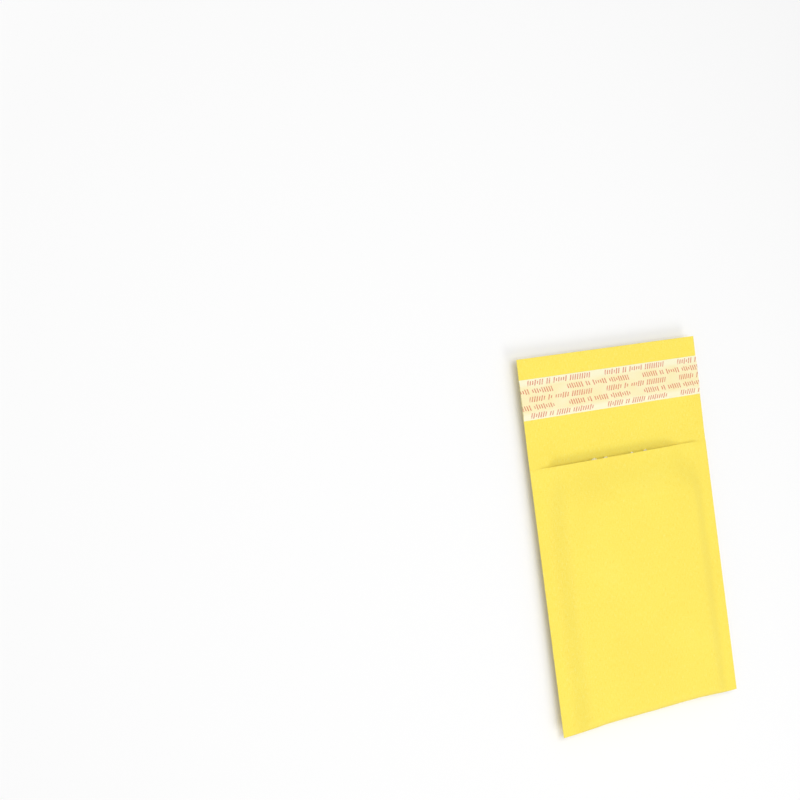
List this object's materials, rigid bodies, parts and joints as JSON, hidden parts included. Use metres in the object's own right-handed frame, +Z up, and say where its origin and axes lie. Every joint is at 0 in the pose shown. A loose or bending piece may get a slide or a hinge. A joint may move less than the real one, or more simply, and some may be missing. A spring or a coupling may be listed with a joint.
{
  "type": "padded envelope",
  "caption": "Small padded envelope of yellow paper lined with bubble film, lying open, with its flap out flat and the peel-off strip still on the glue.",
  "frame": {"origin": "on the surface the envelope lies on, under the middle of its length and width", "axes": "+X across the envelope, +Y from the bottom fold towards the flap, +Z up out of the front panel"},
  "size_m": [0.11, 0.182, 0.0094],
  "materials": {
    "yellow_paper": "matte",
    "bubble_film": "gloss",
    "glue": "satin",
    "release_paper": "satin"
  },
  "bodies": {
    "root": {"kraft_outer": "yellow_paper", "bubble_liner": "bubble_film", "adhesive_strip": "glue", "release_liner": "release_paper"}
  },
  "joints": []
}
